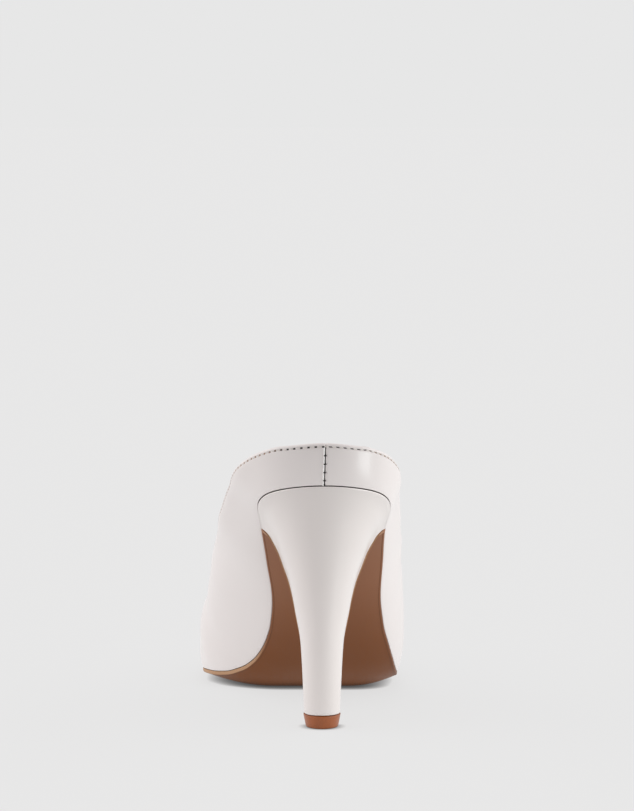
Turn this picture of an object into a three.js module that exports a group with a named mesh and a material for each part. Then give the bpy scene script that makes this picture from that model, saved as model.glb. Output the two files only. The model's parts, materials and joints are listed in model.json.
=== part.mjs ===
// A right mule on a high covered heel, in millimetres.
// The shoe stands on the floor at z = 0 and points along +Y, with its outer side at +X.
// The origin is the middle of the heel tip's ground face.
// A station is a distance along the shoe from the back edge of the heel seat.

import * as THREE from 'three';
import { mergeVertices } from 'three/addons/utils/BufferGeometryUtils.js';

// Sizes of the whole shoe

const planLength = 228;
const heelHeight = 95.2;
const toeSpring = 8;
const ballWidth = 80.3;
const waistWidth = 43.9;
const seatWidth = 50.8;
const forefootSwing = 9.8;
const seatOffset = 0.8;
const instepHeight = 64.5;

// Sizes of the upper

const upperWall = 1.8;
const rimHeight = 16;
const innerOverhang = 25.2;
const outerOverhang = 10.1;
const backOverhang = 7.3;
const toeOverhang = 3;
const seatRoundLength = 27;
const toeRoundLength = 62;
const toeBoxRoundLength = 28;

// Sizes of the bottom pieces

const pieceGap = 0.3;
const outsoleThickness = 2.4;
const outsoleBevel = 0.6;
const treadCrown = 3.7;
const insoleThickness = 2.4;
const insoleToeRoom = 2;
const breastStation = 40;
const flapThickness = 1;
const flapReveal = 0.5;
const tipStation = 24;
const tipWidth = 13;
const tipDepth = 13;
const tipHeight = 5;
const tipTaper = 0.5;
const tipFlare = 0.25;
const tipEdgeRound = 0.9;

// Tables of the last
// Outline: half is a share of the width in size, swing a share of forefootSwing to the inner side.

const outlineRows = [
  { at: 0.000, size: seatWidth, half: 0.500, swing: 0.00 },
  { at: 0.123, size: seatWidth, half: 0.500, swing: 0.00 },
  { at: 0.175, size: seatWidth, half: 0.472, swing: 0.03 },
  { at: 0.250, size: waistWidth, half: 0.517, swing: -0.03 },
  { at: 0.329, size: waistWidth, half: 0.488, swing: -0.10 },
  { at: 0.395, size: waistWidth, half: 0.514, swing: -0.13 },
  { at: 0.439, size: ballWidth, half: 0.306, swing: -0.12 },
  { at: 0.482, size: ballWidth, half: 0.341, swing: -0.03 },
  { at: 0.518, size: ballWidth, half: 0.380, swing: 0.16 },
  { at: 0.548, size: ballWidth, half: 0.420, swing: 0.41 },
  { at: 0.600, size: ballWidth, half: 0.478, swing: 0.83 },
  { at: 0.649, size: ballWidth, half: 0.500, swing: 1.00 },
  { at: 0.724, size: ballWidth, half: 0.488, swing: 1.06 },
  { at: 0.811, size: ballWidth, half: 0.448, swing: 1.14 },
  { at: 0.899, size: ballWidth, half: 0.386, swing: 1.28 },
  { at: 1.000, size: ballWidth, half: 0.311, swing: 1.42 },
];

// Bottom profile: rise is a share of the seat's rise over the tread, spring a share of toeSpring
// and crown a share of treadCrown, by which the sole's edges stand over its middle.

const profileRows = [
  { at: 0.000, rise: 1.000, spring: 0.00, crown: 0.00 },
  { at: 0.061, rise: 0.950, spring: 0.00, crown: 0.00 },
  { at: 0.123, rise: 0.877, spring: 0.00, crown: 0.00 },
  { at: 0.180, rise: 0.775, spring: 0.00, crown: 0.00 },
  { at: 0.219, rise: 0.687, spring: 0.00, crown: 0.22 },
  { at: 0.272, rise: 0.558, spring: 0.00, crown: 0.42 },
  { at: 0.329, rise: 0.424, spring: 0.00, crown: 0.58 },
  { at: 0.386, rise: 0.295, spring: 0.00, crown: 0.74 },
  { at: 0.439, rise: 0.183, spring: 0.00, crown: 0.90 },
  { at: 0.491, rise: 0.084, spring: 0.00, crown: 1.00 },
  { at: 0.526, rise: 0.034, spring: 0.00, crown: 1.00 },
  { at: 0.561, rise: 0.005, spring: 0.00, crown: 0.96 },
  { at: 0.588, rise: 0.000, spring: 0.00, crown: 0.88 },
  { at: 0.658, rise: 0.000, spring: 0.00, crown: 0.72 },
  { at: 0.732, rise: 0.000, spring: 0.00, crown: 0.66 },
  { at: 0.789, rise: 0.000, spring: 0.07, crown: 0.60 },
  { at: 0.877, rise: 0.000, spring: 0.33, crown: 0.42 },
  { at: 0.943, rise: 0.000, spring: 0.62, crown: 0.26 },
  { at: 1.000, rise: 0.000, spring: 1.00, crown: 0.00 },
];

// Sections: height is a share of instepHeight, and the other columns are shares of the
// overhangs by which the upper stands out over the sole's edge.

const sectionRows = [
  { at: 0.000, height: 0.96, inner: 0.00, outer: 0.00, back: 1.00, toe: 0.0 },
  { at: 0.061, height: 0.96, inner: 0.16, outer: 0.04, back: 0.85, toe: 0.0 },
  { at: 0.123, height: 0.96, inner: 0.53, outer: 0.32, back: 0.50, toe: 0.0 },
  { at: 0.175, height: 0.96, inner: 0.74, outer: 0.70, back: 0.20, toe: 0.0 },
  { at: 0.228, height: 0.98, inner: 0.90, outer: 0.91, back: 0.00, toe: 0.0 },
  { at: 0.285, height: 0.99, inner: 0.96, outer: 0.95, back: 0.00, toe: 0.0 },
  { at: 0.351, height: 1.00, inner: 0.98, outer: 0.99, back: 0.00, toe: 0.0 },
  { at: 0.417, height: 1.00, inner: 1.01, outer: 0.89, back: 0.00, toe: 0.0 },
  { at: 0.482, height: 0.97, inner: 0.91, outer: 0.71, back: 0.00, toe: 0.0 },
  { at: 0.548, height: 0.90, inner: 0.59, outer: 0.56, back: 0.00, toe: 0.0 },
  { at: 0.649, height: 0.72, inner: 0.13, outer: 0.48, back: 0.00, toe: 0.0 },
  { at: 0.724, height: 0.58, inner: 0.13, outer: 0.42, back: 0.00, toe: 0.1 },
  { at: 0.811, height: 0.44, inner: 0.09, outer: 0.34, back: 0.00, toe: 0.4 },
  { at: 0.899, height: 0.32, inner: 0.04, outer: 0.16, back: 0.00, toe: 0.8 },
  { at: 1.000, height: 0.22, inner: 0.00, outer: 0.00, back: 0.00, toe: 1.0 },
];

// Topline over the sole's edge, seen from the side: height is a share of the size in size.

const toplineRows = [
  { at: -0.024, size: rimHeight, height: 1.00 },
  { at: -0.018, size: rimHeight, height: 0.96 },
  { at: -0.004, size: rimHeight, height: 0.90 },
  { at: 0.018, size: rimHeight, height: 0.87 },
  { at: 0.045, size: rimHeight, height: 0.84 },
  { at: 0.075, size: rimHeight, height: 0.81 },
  { at: 0.105, size: rimHeight, height: 0.80 },
  { at: 0.145, size: rimHeight, height: 0.84 },
  { at: 0.180, size: rimHeight, height: 0.95 },
  { at: 0.228, size: instepHeight, height: 0.282 },
  { at: 0.285, size: instepHeight, height: 0.360 },
  { at: 0.351, size: instepHeight, height: 0.450 },
  { at: 0.395, size: instepHeight, height: 0.512 },
  { at: 0.425, size: instepHeight, height: 0.600 },
  { at: 0.450, size: instepHeight, height: 0.750 },
  { at: 0.474, size: instepHeight, height: 0.970 },
  { at: 0.491, size: instepHeight, height: 1.200 },
  { at: 0.518, size: instepHeight, height: 1.700 },
];

// Outsole: thickness is a share of outsoleThickness.

const outsoleRows = [
  { at: 0.17, thickness: 0.62 },
  { at: 0.33, thickness: 0.66 },
  { at: 0.50, thickness: 0.86 },
  { at: 0.62, thickness: 1.00 },
  { at: 0.74, thickness: 1.00 },
  { at: 1.00, thickness: 0.85 },
];

// Heel rings, from the tip to the seat: scale runs from the tip's width at 0 to the seat's at 1,
// and back and front from the tip's own edges at 0 to the seat's back edge and breast at 1.

const heelRows = [
  { at: 0.00, scale: 0.000, back: 0.00, front: 0.00 },
  { at: 0.18, scale: 0.033, back: 0.10, front: 0.08 },
  { at: 0.35, scale: 0.076, back: 0.21, front: 0.17 },
  { at: 0.52, scale: 0.200, back: 0.33, front: 0.28 },
  { at: 0.61, scale: 0.270, back: 0.41, front: 0.35 },
  { at: 0.70, scale: 0.360, back: 0.52, front: 0.43 },
  { at: 0.79, scale: 0.490, back: 0.64, front: 0.52 },
  { at: 0.87, scale: 0.615, back: 0.76, front: 0.63 },
  { at: 0.92, scale: 0.725, back: 0.85, front: 0.73 },
  { at: 0.96, scale: 0.825, back: 0.93, front: 0.84 },
  { at: 1.00, scale: 1.000, back: 1.00, front: 1.00 },
];

// Curves through the tables

function curveThrough(rows, valueOf) {
  const last = rows.length - 1;
  const steps = [];
  const slopes = [];
  for (let i = 0; i < last; i += 1) {
    const step = rows[i + 1].at - rows[i].at;
    steps.push(step);
    slopes.push((valueOf(rows[i + 1]) - valueOf(rows[i])) / step);
  }
  const tangents = [slopes[0]];
  for (let i = 1; i < last; i += 1) {
    const before = slopes[i - 1];
    const after = slopes[i];
    const weightBefore = 2 * steps[i] + steps[i - 1];
    const weightAfter = steps[i] + 2 * steps[i - 1];
    const turns = before * after <= 0;
    tangents.push(turns ? 0 : (weightBefore + weightAfter) / (weightBefore / before + weightAfter / after));
  }
  tangents.push(slopes[last - 1]);
  return (at) => {
    const place = Math.min(Math.max(at, rows[0].at), rows[last].at);
    let i = 0;
    while (i < last - 1 && place > rows[i + 1].at) {
      i += 1;
    }
    const t = (place - rows[i].at) / steps[i];
    const u = 1 - t;
    const start = valueOf(rows[i]) * (1 + 2 * t) * u * u;
    const end = valueOf(rows[i + 1]) * (1 + 2 * u) * t * t;
    return start + end + steps[i] * t * u * (tangents[i] * u - tangents[i + 1] * t);
  };
}

const halfAlong = curveThrough(outlineRows, (row) => row.half * row.size);
const swingAlong = curveThrough(outlineRows, (row) => row.swing * forefootSwing);
const riseAlong = curveThrough(profileRows, (row) => row.rise);
const springAlong = curveThrough(profileRows, (row) => row.spring * toeSpring);
const crownAlong = curveThrough(profileRows, (row) => row.crown * treadCrown);
const heightAlong = curveThrough(sectionRows, (row) => row.height * instepHeight);
const innerAlong = curveThrough(sectionRows, (row) => row.inner * innerOverhang);
const outerAlong = curveThrough(sectionRows, (row) => row.outer * outerOverhang);
const backAlong = curveThrough(sectionRows, (row) => row.back * backOverhang);
const toeAlong = curveThrough(sectionRows, (row) => row.toe * toeOverhang);
const toplineAlong = curveThrough(toplineRows, (row) => row.height * row.size);
const outsoleAlong = curveThrough(outsoleRows, (row) => row.thickness * outsoleThickness);
const heelScaleAlong = curveThrough(heelRows, (row) => row.scale);
const heelBackAlong = curveThrough(heelRows, (row) => row.back);
const heelFrontAlong = curveThrough(heelRows, (row) => row.front);

// The last: every piece takes its place from these

const mix = (from, to, share) => from + (to - from) * share;
const limit = (value) => Math.min(1, Math.max(0, value));
const ease = (value) => limit(value) ** 2 * (3 - 2 * limit(value));
const roundEnd = (share) => Math.sqrt(1 - (1 - limit(share)) ** 2);

const sideOf = { inner: -1, outer: 1 };
const treadLevel = outsoleThickness + pieceGap;
const crownFlat = 0.45;
const edgeThinning = 0.4;

const alongY = (station) => station - tipStation;
const share = (station) => station / planLength;

function middleX(station) {
  return seatOffset - swingAlong(share(station));
}

function halfWidth(station) {
  const ends = roundEnd(station / seatRoundLength) * roundEnd((planLength - station) / toeRoundLength);
  return halfAlong(share(station)) * ends;
}

// How far the bottom curls up across, from 0 over its flat middle to 1 at both edges.
const curlShare = (across) => limit((Math.abs(across) - crownFlat) / (1 - crownFlat)) ** 2;

// Height of the last's bottom over the floor, where across runs from -1 to 1 between its edges.
// Its middle is flat, and it curves up towards both edges.
function bottomLevel(station, across) {
  const rise = riseAlong(share(station)) * (heelHeight - treadLevel);
  const curl = crownAlong(share(station)) * curlShare(across);
  return treadLevel + rise + springAlong(share(station)) + curl;
}

const edgeLevel = (station) => bottomLevel(station, 1);

function sectionHeight(station) {
  return heightAlong(share(station)) * roundEnd((planLength - station) / toeBoxRoundLength);
}

function edgePoint(side, station, inset = 0) {
  const normal = edgeNormal(side, station);
  const x = middleX(station) + sideOf[side] * halfWidth(station);
  return new THREE.Vector2(x - normal.x * inset, alongY(station) - normal.y * inset);
}

// Outward direction of the sole's edge, seen from above
function edgeNormal(side, station) {
  const widest = 0.4;
  const reach = Math.min(widest, station / 2, (planLength - station) / 2);
  if (reach <= 0) {
    return new THREE.Vector2(0, station <= 0 ? -1 : 1);
  }
  const back = station - reach;
  const front = station + reach;
  const spreadX = middleX(front) - middleX(back);
  const spreadHalf = sideOf[side] * (halfWidth(front) - halfWidth(back));
  const along = new THREE.Vector2(spreadX + spreadHalf, front - back).normalize();
  return new THREE.Vector2(sideOf[side] * along.y, -sideOf[side] * along.x);
}

// The upper's surface
// Each column starts on the sole's edge and runs up to the topline. Around the toe the columns
// turn back along the foot, so that none of them meet at the toe tip.

const toeReach = toeRoundLength;
const toeTurn = 0.35;
const columnFadeStart = 0.27 * planLength;
const columnFadeEnd = 0.4 * planLength;
const bulgeTurnStart = 0.08 * planLength;
const bulgeTurnEnd = 0.185 * planLength;
const bulgeRise = 0.8;
const bulgeFall = 2;

const spanOf = (station) => toeTurn * Math.sqrt(((planLength - station) / toeReach + 1) ** 2 - 1);
const stationOf = (span) => planLength - toeReach * (Math.sqrt(1 + (span / toeTurn) ** 2) - 1);

function bulgeShape(angle) {
  const peak = Math.atan(Math.sqrt(bulgeRise / bulgeFall));
  const shape = (turn) => Math.abs(Math.sin(turn)) ** bulgeRise * Math.abs(Math.cos(turn)) ** bulgeFall;
  return shape(angle) / shape(peak);
}

function upperPoint(side, edgeStation, climb) {
  const spanAtEdge = spanOf(edgeStation);
  const fade = ease((edgeStation - columnFadeStart) / (columnFadeEnd - columnFadeStart));
  const span = Math.sqrt(spanAtEdge ** 2 + fade * Math.sin(climb) ** 2);
  const station = Math.min(planLength, stationOf(span));
  const angle = Math.atan2(Math.sqrt(1 + spanAtEdge ** 2) * Math.sin(climb), spanAtEdge * Math.cos(climb));
  const across = sideOf[side] * halfWidth(station) * Math.cos(angle);
  const sideOut = side === 'inner' ? innerAlong(share(station)) : outerAlong(share(station));
  const out = (sideOut + backAlong(share(station))) * bulgeShape(angle);
  const turned = ease((bulgeTurnEnd - station) / (bulgeTurnEnd - bulgeTurnStart));
  const straight = new THREE.Vector2(sideOf[side], 0);
  const outward = straight.lerp(edgeNormal(side, station), turned).normalize();
  const toeOut = toeAlong(share(edgeStation)) * bulgeShape(climb);
  const toeward = edgeNormal(side, edgeStation);
  return new THREE.Vector3(
    middleX(station) + across + outward.x * out + toeward.x * toeOut,
    alongY(station) + outward.y * out + toeward.y * toeOut,
    edgeLevel(station) + sectionHeight(station) * Math.sin(angle),
  );
}

function climbToTopline(side, edgeStation) {
  let low = 0;
  let high = Math.PI / 2;
  const halvings = 40;
  for (let i = 0; i < halvings; i += 1) {
    const middle = (low + high) / 2;
    const point = upperPoint(side, edgeStation, middle);
    const station = point.y + tipStation;
    const over = point.z - edgeLevel(station) - toplineAlong(share(station));
    if (over > 0) {
      high = middle;
    } else {
      low = middle;
    }
  }
  return (low + high) / 2;
}

// Stations of the columns, at even steps along the sole's edge from the toe tip to the back
function columnStations(side, count) {
  const samples = 600;
  const stations = [];
  const lengths = [0];
  for (let i = 0; i <= samples; i += 1) {
    stations.push(planLength * (1 + Math.cos(Math.PI * i / samples)) / 2);
  }
  const place = (station) => {
    const x = middleX(station) + sideOf[side] * halfWidth(station);
    return new THREE.Vector3(x, alongY(station), edgeLevel(station));
  };
  for (let i = 1; i <= samples; i += 1) {
    const step = place(stations[i]).distanceTo(place(stations[i - 1]));
    lengths.push(lengths[i - 1] + step);
  }
  const picked = [];
  let i = 0;
  for (let k = 0; k <= count; k += 1) {
    const wanted = lengths[samples] * k / count;
    while (i < samples - 1 && lengths[i + 1] < wanted) {
      i += 1;
    }
    const part = (wanted - lengths[i]) / (lengths[i + 1] - lengths[i]);
    picked.push(mix(stations[i], stations[i + 1], part));
  }
  return picked;
}

// Closed meshes, built from four-cornered faces

class Skin {
  constructor() {
    this.corners = [];
  }

  face(a, b, c, d) {
    const near = 1e-6;
    for (const [p, q, r] of [[a, b, c], [a, c, d]]) {
      const flat = p.distanceTo(q) < near || q.distanceTo(r) < near || r.distanceTo(p) < near;
      if (!flat) {
        this.corners.push(p, q, r);
      }
    }
  }

  // Faces between two rows of points
  strip(first, second) {
    for (let i = 0; i < first.length - 1; i += 1) {
      this.face(first[i], first[i + 1], second[i + 1], second[i]);
    }
  }

  rows(grid) {
    for (let i = 0; i < grid.length - 1; i += 1) {
      this.strip(grid[i], grid[i + 1]);
    }
  }

  geometry() {
    const raw = new THREE.BufferGeometry();
    const values = this.corners.flatMap((corner) => [corner.x, corner.y, corner.z]);
    raw.setAttribute('position', new THREE.Float32BufferAttribute(values, 3));
    const merged = mergeVertices(raw, 1e-4);
    merged.computeVertexNormals();
    return merged;
  }
}

// A plate with a top and a bottom grid of the same rows and columns
function plate(top, bottom) {
  const skin = new Skin();
  const turned = (row) => [...row].reverse();
  skin.rows(top);
  skin.rows(bottom.map(turned));
  const edgeOf = (grid, pick) => grid.map((row) => row[pick(row)]);
  const first = () => 0;
  const last = (row) => row.length - 1;
  skin.strip(edgeOf(top, first), edgeOf(bottom, first));
  skin.strip(edgeOf(bottom, last), edgeOf(top, last));
  skin.strip(bottom[0], top[0]);
  skin.strip(top[top.length - 1], bottom[bottom.length - 1]);
  return skin.geometry();
}

// Upper

function upperGeometry() {
  const columnsPerSide = 38;
  const rowCount = 12;
  const columns = [];
  const addColumn = (side, station) => {
    const topClimb = climbToTopline(side, station);
    const column = [];
    for (let j = 0; j <= rowCount; j += 1) {
      const climb = topClimb * j / rowCount;
      column.push({ side, station, climb, point: upperPoint(side, station, climb) });
    }
    columns.push(column);
  };
  const outerStations = columnStations('outer', columnsPerSide);
  const innerStations = columnStations('inner', columnsPerSide);
  outerStations.forEach((station) => addColumn('outer', station));
  innerStations.slice(1, -1).reverse().forEach((station) => addColumn('inner', station));
  const total = columns.length;
  const outside = columns.map((column) => column.map((entry) => entry.point));
  const inside = outside.map((column, i) => column.map((point, j) => {
    const before = outside[(i + total - 1) % total][j];
    const after = outside[(i + 1) % total][j];
    const below = column[Math.max(0, j - 1)];
    const above = column[Math.min(rowCount, j + 1)];
    const across = after.clone().sub(before);
    const up = above.clone().sub(below);
    const inward = across.cross(up).normalize();
    if (j === 0) {
      inward.setZ(0).normalize();
    }
    return point.clone().addScaledVector(inward, upperWall);
  }));
  const skin = new Skin();
  const closed = (grid) => [...grid, grid[0]];
  const reversed = (grid) => closed(grid).map((column) => [...column]).reverse();
  skin.rows(closed(outside));
  skin.rows(reversed(inside));
  const lowest = (grid) => closed(grid).map((column) => column[0]);
  const highest = (grid) => closed(grid).map((column) => column[rowCount]);
  skin.strip(lowest(outside), lowest(inside));
  skin.strip(highest(inside), highest(outside));
  return skin.geometry();
}

// Insole: lies inside the upper's wall, on the outsole and on the heel

function acrossRow(station, inset, count, levelOf) {
  const left = edgePoint('inner', station, inset);
  const right = edgePoint('outer', station, inset);
  const row = [];
  const pointed = station >= planLength;
  for (let j = 0; j <= count; j += 1) {
    const x = mix(left.x, right.x, j / count);
    const y = mix(left.y, right.y, j / count);
    const place = pointed ? 0 : 2 * j / count - 1;
    row.push(new THREE.Vector3(x, y, levelOf(y + tipStation, place)));
  }
  return row;
}

function evenStations(from, to, count) {
  const stations = [];
  for (let i = 0; i <= count; i += 1) {
    stations.push(mix(from, to, (1 - Math.cos(Math.PI * i / count)) / 2));
  }
  return stations;
}

function insoleGeometry() {
  const toeStart = planLength - toeBoxRoundLength;
  const inset = (station) => upperWall + pieceGap
    + insoleToeRoom * ease((station - toeStart) / toeBoxRoundLength);
  const across = 10;
  const rowCount = 34;
  const stations = evenStations(0, planLength, rowCount);
  const under = stations.map((station) => acrossRow(station, inset(station), across, bottomLevel));
  const over = under.map((row) => row.map((point) => point.clone().setZ(point.z + insoleThickness)));
  return plate(over, under);
}

// Heel: rings from the tip up to the seat, each a scaled copy of the seat's edge

const heelClimbs = [0, 0.12, 0.24, 0.36, 0.48, 0.58, 0.67, 0.75, 0.82, 0.88, 0.93, 0.97, 1];
const heelBase = tipHeight + pieceGap;
const heelLean = 4;
const seatShare = (turn) => 1 - Math.cos(Math.PI * turn / 2);
const breastHalf = halfWidth(breastStation);

function heelFront(climb) {
  const tipFront = tipStation + tipDepth / 2 - flapThickness - pieceGap;
  return mix(tipFront, breastStation, heelFrontAlong(climb));
}

function heelSpread(climb) {
  const tipScale = tipWidth / 2 / breastHalf;
  return mix(tipScale, 1, heelScaleAlong(climb));
}

function heelLevel(station, climb) {
  return mix(heelBase, edgeLevel(station) - pieceGap, climb);
}

function heelRing(climb, turns) {
  const back = mix(tipStation - tipDepth / 2, 0, heelBackAlong(climb));
  const front = heelFront(climb);
  return turns.map((turn) => {
    const seatStation = breastStation * seatShare(turn);
    const side = turn < 0 ? -1 : 1;
    const centre = mix(0, middleX(seatStation), climb ** heelLean);
    const x = centre + side * halfWidth(seatStation) * heelSpread(climb);
    const y = alongY(mix(back, front, seatShare(turn)));
    return new THREE.Vector3(x, y, heelLevel(seatStation, climb));
  });
}

function evenTurns(count) {
  const turns = [];
  for (let i = -count; i <= count; i += 1) {
    turns.push(i / count);
  }
  return turns;
}

// A stack of D-shaped rings, closed across its ends and along its flat front
function stack(rings) {
  const skin = new Skin();
  const half = (rings[0].length - 1) / 2;
  const top = rings[rings.length - 1];
  const bottom = rings[0];
  rings.slice(1).forEach((ring, i) => {
    const below = [...rings[i], rings[i][0]];
    const above = [...ring, ring[0]];
    skin.strip(below, above);
  });
  for (let i = 0; i < half; i += 1) {
    const j = rings[0].length - 1 - i;
    skin.face(top[i], top[i + 1], top[j - 1], top[j]);
    skin.face(bottom[j], bottom[j - 1], bottom[i + 1], bottom[i]);
  }
  return skin.geometry();
}

function heelGeometry() {
  const turns = evenTurns(12);
  return stack(heelClimbs.map((climb) => heelRing(climb, turns)));
}

// Top piece: the hard tip under the heel, a little wider than the heel and rounded at its foot

function tipRing(level, spread) {
  const turns = evenTurns(8);
  const half = tipWidth / 2 + spread;
  const back = tipStation - tipDepth / 2 - spread;
  const front = tipStation + tipDepth / 2 + spread;
  return turns.map((turn) => {
    const seatStation = breastStation * seatShare(turn);
    const side = turn < 0 ? -1 : 1;
    const x = side * half * halfWidth(seatStation) / breastHalf;
    return new THREE.Vector3(x, alongY(mix(back, front, seatShare(turn))), level);
  });
}

function topPieceGeometry() {
  const corner = tipEdgeRound * (1 - Math.SQRT1_2);
  return stack([
    tipRing(0, -tipTaper - tipEdgeRound),
    tipRing(corner, -tipTaper - corner),
    tipRing(tipEdgeRound, -tipTaper),
    tipRing(tipHeight, tipFlare),
  ]);
}

// Outsole: the tread and waist, turned down over the heel's breast as a thin flap

const flapClimbs = [0.96, 0.91, 0.85, 0.78, 0.7, 0.6, 0.48, 0.36, 0.24, 0.12, 0];

function outsoleGeometry() {
  const across = 10;
  const plateRows = 32;
  const flapStart = breastStation + pieceGap;
  const stationsFrom = (start) => evenStations(start, planLength, plateRows).reverse();
  const topLevel = (station, place) => bottomLevel(station, place) - pieceGap;
  const thickness = (station, place) =>
    outsoleAlong(share(station)) * (1 - edgeThinning * curlShare(place));
  const underLevel = (station, place) => topLevel(station, place) - thickness(station, place);
  const topRow = (station) => acrossRow(station, 0, across, topLevel);
  const underRow = (station) => acrossRow(station, outsoleBevel, across, underLevel);
  const hidden = stationsFrom(flapStart).map(topRow);
  const shown = stationsFrom(flapStart + flapThickness).map(underRow);
  flapClimbs.forEach((climb) => {
    const level = heelLevel(breastStation, climb);
    const centre = mix(0, middleX(breastStation), climb ** heelLean);
    const half = breastHalf * heelSpread(climb) + flapReveal * climb;
    const front = alongY(heelFront(climb) + pieceGap);
    const row = (y) => {
      const points = [];
      for (let j = 0; j <= across; j += 1) {
        points.push(new THREE.Vector3(centre + half * (2 * j / across - 1), y, level));
      }
      return points;
    };
    hidden.push(row(front));
    shown.push(row(front + flapThickness));
  });
  return plate(shown, hidden);
}

// Leathers and the hard tip

function finish(colour, roughness) {
  return new THREE.MeshStandardMaterial({ color: colour, roughness, metalness: 0 });
}

const shoe = new THREE.Group();

function addPiece(name, geometry, material) {
  const piece = new THREE.Mesh(geometry, material);
  piece.name = name;
  shoe.add(piece);
}

addPiece('upper', upperGeometry(), finish(0xe4dfdc, 0.35));
addPiece('outsole', outsoleGeometry(), finish(0x7a4f38, 0.5));
addPiece('insole', insoleGeometry(), finish(0xd8cbbd, 0.6));
addPiece('heel', heelGeometry(), finish(0xddd6d2, 0.35));
addPiece('top_piece', topPieceGeometry(), finish(0x8a5433, 0.5));

export default shoe;
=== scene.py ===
"""A right mule on a high covered heel: its leathers, stitches, sole and studio, in metres."""

import json
import math
import random

import bmesh
import bpy
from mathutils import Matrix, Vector

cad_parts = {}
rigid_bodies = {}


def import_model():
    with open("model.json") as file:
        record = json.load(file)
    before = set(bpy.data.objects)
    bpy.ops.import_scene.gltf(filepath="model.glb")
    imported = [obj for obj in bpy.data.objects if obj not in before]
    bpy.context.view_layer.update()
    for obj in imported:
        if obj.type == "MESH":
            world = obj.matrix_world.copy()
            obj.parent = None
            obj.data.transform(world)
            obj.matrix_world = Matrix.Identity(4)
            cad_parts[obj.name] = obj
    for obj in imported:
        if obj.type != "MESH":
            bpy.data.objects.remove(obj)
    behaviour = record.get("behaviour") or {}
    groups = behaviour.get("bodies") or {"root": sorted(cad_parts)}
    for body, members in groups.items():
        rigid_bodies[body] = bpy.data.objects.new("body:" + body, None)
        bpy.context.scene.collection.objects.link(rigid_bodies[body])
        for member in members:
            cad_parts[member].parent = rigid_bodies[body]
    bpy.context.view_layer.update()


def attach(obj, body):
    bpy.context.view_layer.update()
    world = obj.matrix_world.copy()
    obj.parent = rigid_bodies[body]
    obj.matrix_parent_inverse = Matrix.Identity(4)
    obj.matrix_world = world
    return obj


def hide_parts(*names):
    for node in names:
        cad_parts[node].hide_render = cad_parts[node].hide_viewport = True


bl_info = {
    "name": "High-heeled mule",
    "version": (1, 0, 0),
    "blender": (4, 5, 0),
    "location": "View3D > Sidebar > Mule",
    "description": "Dresses the solid frame of a mule in leather, thread and a tan sole",
    "category": "Object",
}

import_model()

MM = 0.001
SIDES = {"inner": -1, "outer": 1}

# Shares of the length: where the columns begin to lean and lean in full, and where the
# overhang begins to turn sideways and points sideways
COLUMN_FADE = (0.27, 0.4)
BULGE_TURN = (0.08, 0.185)


# Tables of the last. The first column is a share of the shoe's length in plan.

# size the half width is a share of, half width, swing to the inner side
OUTLINE = (
    (0.000, "seat_width", 0.500, 0.00),
    (0.123, "seat_width", 0.500, 0.00),
    (0.175, "seat_width", 0.472, 0.03),
    (0.250, "waist_width", 0.517, -0.03),
    (0.329, "waist_width", 0.488, -0.10),
    (0.395, "waist_width", 0.514, -0.13),
    (0.439, "ball_width", 0.306, -0.12),
    (0.482, "ball_width", 0.341, -0.03),
    (0.518, "ball_width", 0.380, 0.16),
    (0.548, "ball_width", 0.420, 0.41),
    (0.600, "ball_width", 0.478, 0.83),
    (0.649, "ball_width", 0.500, 1.00),
    (0.724, "ball_width", 0.488, 1.06),
    (0.811, "ball_width", 0.448, 1.14),
    (0.899, "ball_width", 0.386, 1.28),
    (1.000, "ball_width", 0.311, 1.42),
)

# rise from the tread to the seat, toe spring, curl of the sole's edges
PROFILE = (
    (0.000, 1.000, 0.00, 0.00),
    (0.061, 0.950, 0.00, 0.00),
    (0.123, 0.877, 0.00, 0.00),
    (0.180, 0.775, 0.00, 0.00),
    (0.219, 0.687, 0.00, 0.22),
    (0.272, 0.558, 0.00, 0.42),
    (0.329, 0.424, 0.00, 0.58),
    (0.386, 0.295, 0.00, 0.74),
    (0.439, 0.183, 0.00, 0.90),
    (0.491, 0.084, 0.00, 1.00),
    (0.526, 0.034, 0.00, 1.00),
    (0.561, 0.005, 0.00, 0.96),
    (0.588, 0.000, 0.00, 0.88),
    (0.658, 0.000, 0.00, 0.72),
    (0.732, 0.000, 0.00, 0.66),
    (0.789, 0.000, 0.07, 0.60),
    (0.877, 0.000, 0.33, 0.42),
    (0.943, 0.000, 0.62, 0.26),
    (1.000, 0.000, 1.00, 0.00),
)

# section height, and overhangs at the inner side, the outer side, the back and the toe
SECTIONS = (
    (0.000, 0.96, 0.00, 0.00, 1.00, 0.0),
    (0.061, 0.96, 0.16, 0.04, 0.85, 0.0),
    (0.123, 0.96, 0.53, 0.32, 0.50, 0.0),
    (0.175, 0.96, 0.74, 0.70, 0.20, 0.0),
    (0.228, 0.98, 0.90, 0.91, 0.00, 0.0),
    (0.285, 0.99, 0.96, 0.95, 0.00, 0.0),
    (0.351, 1.00, 0.98, 0.99, 0.00, 0.0),
    (0.417, 1.00, 1.01, 0.89, 0.00, 0.0),
    (0.482, 0.97, 0.91, 0.71, 0.00, 0.0),
    (0.548, 0.90, 0.59, 0.56, 0.00, 0.0),
    (0.649, 0.72, 0.13, 0.48, 0.00, 0.0),
    (0.724, 0.58, 0.13, 0.42, 0.00, 0.1),
    (0.811, 0.44, 0.09, 0.34, 0.00, 0.4),
    (0.899, 0.32, 0.04, 0.16, 0.00, 0.8),
    (1.000, 0.22, 0.00, 0.00, 0.00, 1.0),
)

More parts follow.
